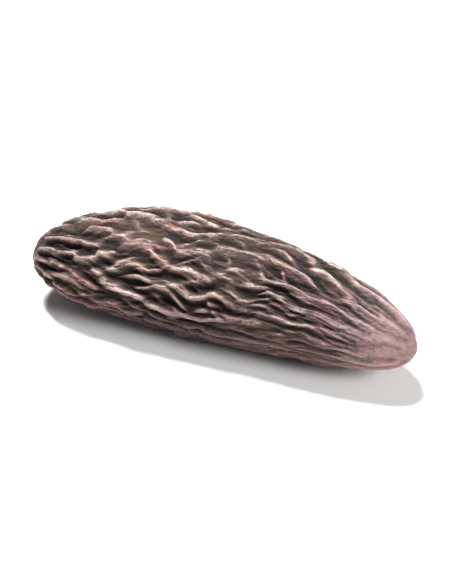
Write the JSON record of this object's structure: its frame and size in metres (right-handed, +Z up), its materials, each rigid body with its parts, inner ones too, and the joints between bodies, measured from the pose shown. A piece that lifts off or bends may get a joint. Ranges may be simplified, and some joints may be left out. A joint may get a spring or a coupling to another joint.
{
  "type": "tonka bean",
  "caption": "Dried tonka bean: a long, slightly bowed seed with a blunt and a narrower end, a keeled edge and deep lengthwise wrinkles.",
  "frame": {"origin": "centre of the bounding box seen from above, on the surface that the bean rests on", "axes": "+X along the bean towards its narrow end, +Y towards its keeled edge, +Z up through its broad side"},
  "size_m": [0.036, 0.013, 0.0085],
  "materials": {
    "bean_skin": "dark brown-black wrinkled seed skin with mauve-grey ridges, satin"
  },
  "bodies": {
    "root": {"tonka_bean": "bean_skin"}
  },
  "joints": []
}
